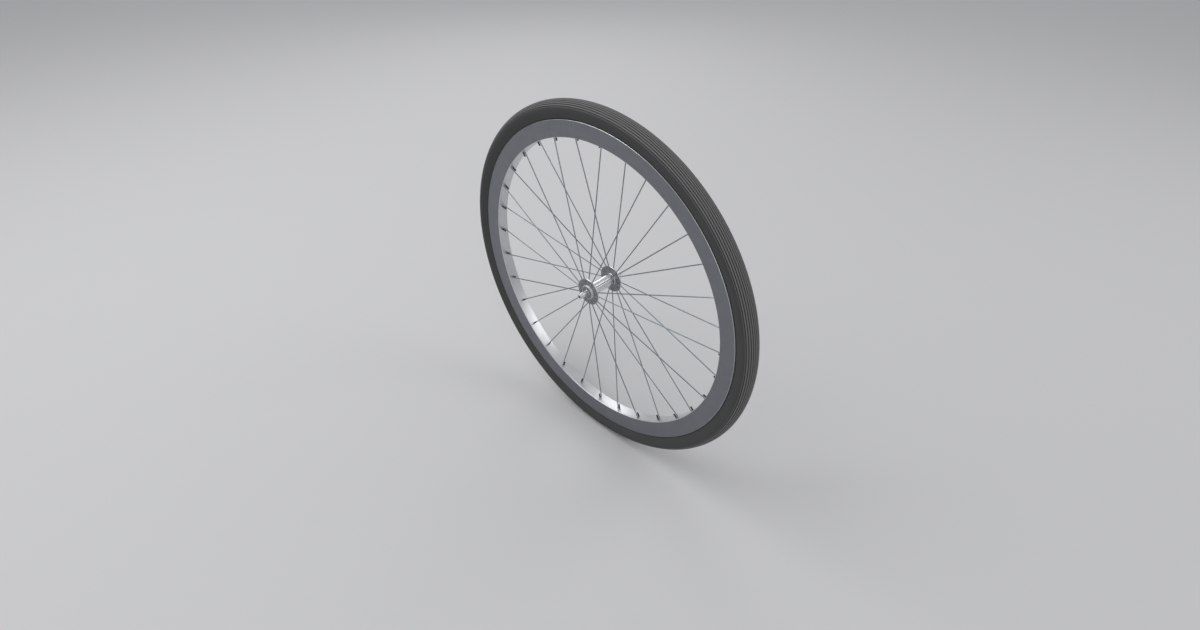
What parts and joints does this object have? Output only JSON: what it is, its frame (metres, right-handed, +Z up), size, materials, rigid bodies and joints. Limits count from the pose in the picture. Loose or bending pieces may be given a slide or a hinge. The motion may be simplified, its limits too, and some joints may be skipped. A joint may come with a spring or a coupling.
{
  "type": "bicycle wheel",
  "caption": "Front bicycle wheel with a ribbed tyre, deep silver rim, straight radial spokes and a slim flanged hub turning on an axle for a fork.",
  "frame": {"origin": "centre of the wheel, on its axle midway between the two ends", "axes": "+Y along the axle towards the wheel's left side, +Z up, +X forward"},
  "size_m": [0.6959, 0.107, 0.696],
  "materials": {
    "tyre": "ribbed matt rubber",
    "inner_tube": "smooth rubber",
    "rim_tape": "woven tape",
    "rim": "satin with a bright spoke face",
    "rim_joint_sleeve": "as extruded",
    "spokes": "drawn stainless steel",
    "nipples": "dark nickel plate on brass",
    "hub_shell": "polished",
    "axle": "satin",
    "bearing_spacer": "turned",
    "end_caps": "turned and polished",
    "bearing_races": "ground steel",
    "bearing_balls": "polished steel",
    "bearing_cages": "moulded",
    "bearing_seals": "moulded rubber",
    "valve_stem": "rubber-coated brass with a bare threaded end",
    "valve_core": "turned"
  },
  "bodies": {
    "axle_set": {"axle": "axle", "bearing_spacer": "bearing_spacer", "left_end_cap": "end_caps", "right_end_cap": "end_caps", "left_inner_race": "bearing_races", "right_inner_race": "bearing_races"},
    "wheel": {"tyre": "tyre", "inner_tube": "inner_tube", "rim_tape": "rim_tape", "rim": "rim", "rim_joint_sleeve": "rim_joint_sleeve", "spoke_01": "spokes", "spoke_02": "spokes", "spoke_03": "spokes", "spoke_04": "spokes", "spoke_05": "spokes", "spoke_06": "spokes", "spoke_07": "spokes", "spoke_08": "spokes", "spoke_09": "spokes", "spoke_10": "spokes", "spoke_11": "spokes", "spoke_12": "spokes", "spoke_13": "spokes", "spoke_14": "spokes", "spoke_15": "spokes", "spoke_16": "spokes", "spoke_17": "spokes", "spoke_18": "spokes", "spoke_19": "spokes", "spoke_20": "spokes", "spoke_21": "spokes", "spoke_22": "spokes", "spoke_23": "spokes", "spoke_24": "spokes", "spoke_25": "spokes", "spoke_26": "spokes", "spoke_27": "spokes", "spoke_28": "spokes", "spoke_29": "spokes", "spoke_30": "spokes", "spoke_31": "spokes", "spoke_32": "spokes", "left_nipples": "nipples", "right_nipples": "nipples", "hub_shell": "hub_shell", "left_outer_race": "bearing_races", "right_outer_race": "bearing_races", "left_seals": "bearing_seals", "right_seals": "bearing_seals", "valve_stem": "valve_stem", "valve_core": "valve_core"},
    "left_ball_set": {"left_balls": "bearing_balls", "left_cage": "bearing_cages"},
    "right_ball_set": {"right_balls": "bearing_balls", "right_cage": "bearing_cages"}
  },
  "joints": [
    {"name": "wheel_spin", "type": "hinge", "parent": "axle_set", "child": "wheel", "pos_m": [0, 0, 0], "axis": [0, 1, 0], "continuous": true},
    {"name": "left_ball_orbit", "type": "hinge", "parent": "axle_set", "child": "left_ball_set", "pos_m": [0, 0.0303, 0], "axis": [0, 1, 0], "continuous": true},
    {"name": "right_ball_orbit", "type": "hinge", "parent": "axle_set", "child": "right_ball_set", "pos_m": [0, -0.0303, 0], "axis": [0, 1, 0], "continuous": true}
  ],
  "couplings": [
    {"joint": "left_ball_orbit", "follows": "wheel_spin", "ratio": 0.5821},
    {"joint": "right_ball_orbit", "follows": "wheel_spin", "ratio": 0.5821}
  ]
}
